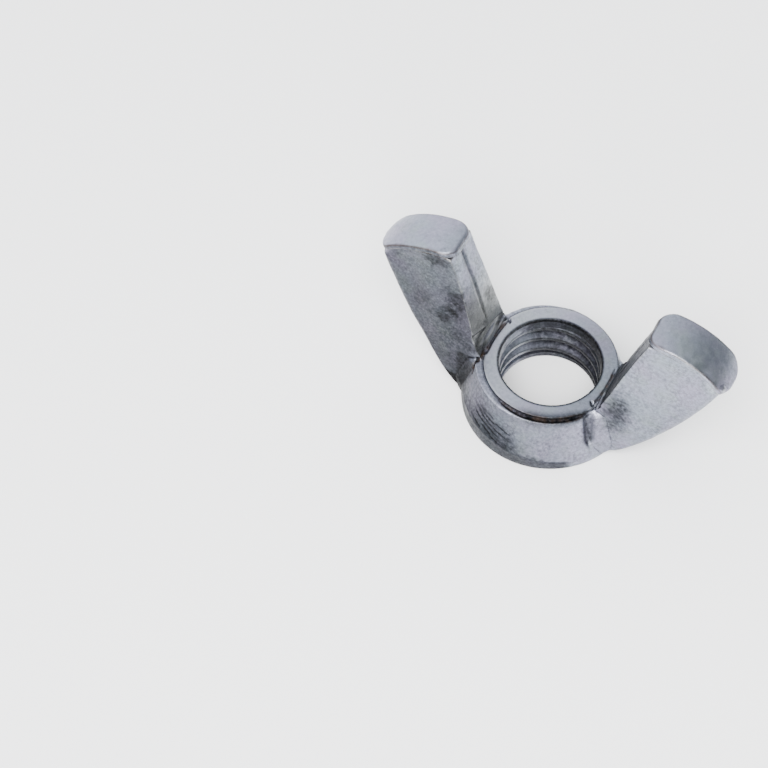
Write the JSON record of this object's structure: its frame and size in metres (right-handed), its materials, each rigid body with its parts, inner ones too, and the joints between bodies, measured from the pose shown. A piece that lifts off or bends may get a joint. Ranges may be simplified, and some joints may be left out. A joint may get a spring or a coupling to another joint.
{
  "type": "wing nut",
  "caption": "Forged wing nut with a tapered boss, an internal metric thread and two raised finger wings, turned by hand on a bolt or stud.",
  "frame": {"origin": "centre of the bearing face under the boss, on the thread axis", "axes": "+Z along the thread axis, out of the boss on the side of the wings; +X along the span, towards the right wing; +Y across the thickness of the wings"},
  "size_m": [0.032, 0.015, 0.0166],
  "materials": {
    "zinc_steel": "bright zinc plate over forged steel, satin"
  },
  "bodies": {
    "root": {"boss": "zinc_steel", "internal_thread": "zinc_steel", "left_wing": "zinc_steel", "right_wing": "zinc_steel"}
  },
  "joints": []
}
